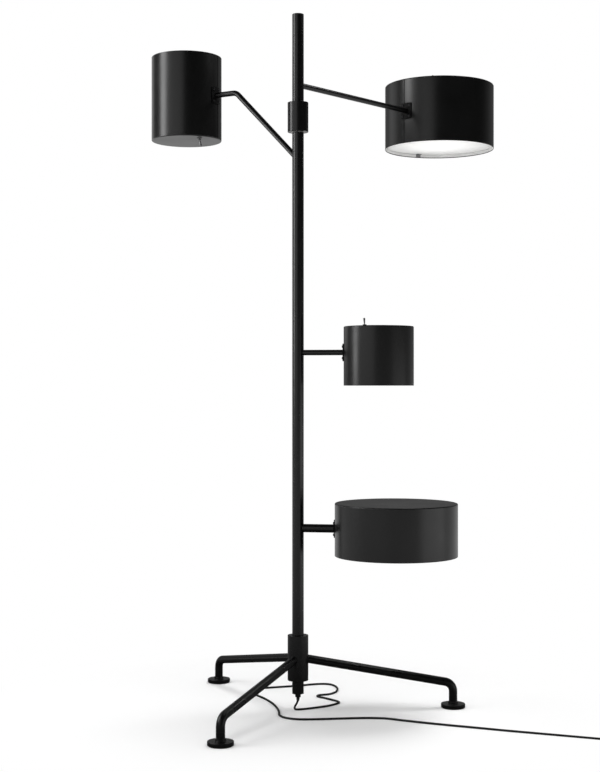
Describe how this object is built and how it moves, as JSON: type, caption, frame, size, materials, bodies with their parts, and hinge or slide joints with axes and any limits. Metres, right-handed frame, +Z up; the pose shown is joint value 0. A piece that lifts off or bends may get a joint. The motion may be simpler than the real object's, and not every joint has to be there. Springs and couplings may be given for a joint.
{
  "type": "floor lamp",
  "caption": "Black tripod floor lamp: a slim pole on bent tubular legs carries drum shades of different sizes on short and long arms.",
  "frame": {"origin": "on the floor under the pole's axis, in the plane of the foot pads", "axes": "+Z up along the pole; +X from the pole to the right-hand leg; +Y to the back"},
  "size_m": [1.3357, 1.1782, 2],
  "materials": {
    "black_steel": "satin black powder coat",
    "shade_aluminium": "satin black powder coat over aluminium",
    "dark_screws": "black oxide",
    "spring_steel": "bright",
    "nickel": "nickel plated",
    "nylon": "natural",
    "gland_plastic": "moulded black",
    "lamp_plastic": "moulded",
    "switch_plastic": "moulded black",
    "bulb_body": "frosted white",
    "frosted_diffuser": "opal frosted",
    "pad_rubber": "matt",
    "cord_sheath": "smooth flexible sheath",
    "plug_plastic": "moulded"
  },
  "bodies": {
    "stand": {"hub": "black_steel", "hub_set_screw": "dark_screws", "leg_right": "black_steel", "leg_back": "black_steel", "leg_front": "black_steel", "foot_discs": "black_steel", "foot_pads": "pad_rubber", "lower_pole": "black_steel", "thrust_washer": "nylon", "collar": "black_steel", "collar_bush": "nylon", "collar_set_screw": "dark_screws", "cable_gland": "gland_plastic", "supply_lead": "cord_sheath", "terminal_block": "lamp_plastic", "arm_tall": "black_steel", "arm_small": "black_steel", "arm_low": "black_steel", "bracket_screws_lower": "dark_screws", "diffuser_clips_lower": "spring_steel", "switch_nuts_lower": "nickel", "switch_tall": "switch_plastic", "switch_small": "switch_plastic", "cord_run": "cord_sheath", "cord_coil": "cord_sheath", "plug": "plug_plastic", "shell_tall": "shade_aluminium", "end_plate_tall": "shade_aluminium", "bracket_tall": "black_steel", "lampholder_tall": "lamp_plastic", "bulb_tall": "bulb_body", "diffuser_tall": "frosted_diffuser", "shell_small": "shade_aluminium", "end_plate_small": "shade_aluminium", "bracket_small": "black_steel", "lampholder_small": "lamp_plastic", "bulb_small": "bulb_body", "diffuser_small": "frosted_diffuser", "shell_low": "shade_aluminium", "end_plate_low": "shade_aluminium", "bracket_low": "black_steel", "lampholder_low": "lamp_plastic", "bulb_low": "bulb_body", "diffuser_low": "frosted_diffuser"},
    "upper_mast": {"upper_pole": "black_steel", "pole_cap": "black_steel", "arm_wide": "black_steel", "shell_wide": "shade_aluminium", "end_plate_wide": "shade_aluminium", "bracket_wide": "black_steel", "lampholder_wide": "lamp_plastic", "bulb_wide": "bulb_body", "diffuser_wide": "frosted_diffuser", "switch_wide": "switch_plastic", "bracket_screws_upper": "dark_screws", "diffuser_clips_upper": "spring_steel", "switch_nut_upper": "nickel"},
    "lever_tall": {"switch_lever_tall": "nickel"},
    "lever_wide": {"switch_lever_wide": "nickel"},
    "lever_small": {"switch_lever_small": "nickel"}
  },
  "joints": [
    {"name": "upper_pole_turn", "type": "hinge", "parent": "stand", "child": "upper_mast", "pos_m": [0, 0, 1.7], "axis": [0, 0, 1], "range_deg": [-170, 70]},
    {"name": "toggle_tall", "type": "hinge", "parent": "stand", "child": "lever_tall", "pos_m": [-0.28375, 0.15528, 1.6665], "axis": [0.5577, -0.83, 0], "range_deg": [-24, 0]},
    {"name": "toggle_wide", "type": "hinge", "parent": "upper_mast", "child": "lever_wide", "pos_m": [0.46109, 0.41659, 1.9015], "axis": [-0.3875, -0.9219, 0], "range_deg": [-24, 0]},
    {"name": "toggle_small", "type": "hinge", "parent": "stand", "child": "lever_small", "pos_m": [0.18662, -0.05479, 1.1025], "axis": [-0.9816, -0.1908, 0], "range_deg": [-24, 0]}
  ]
}
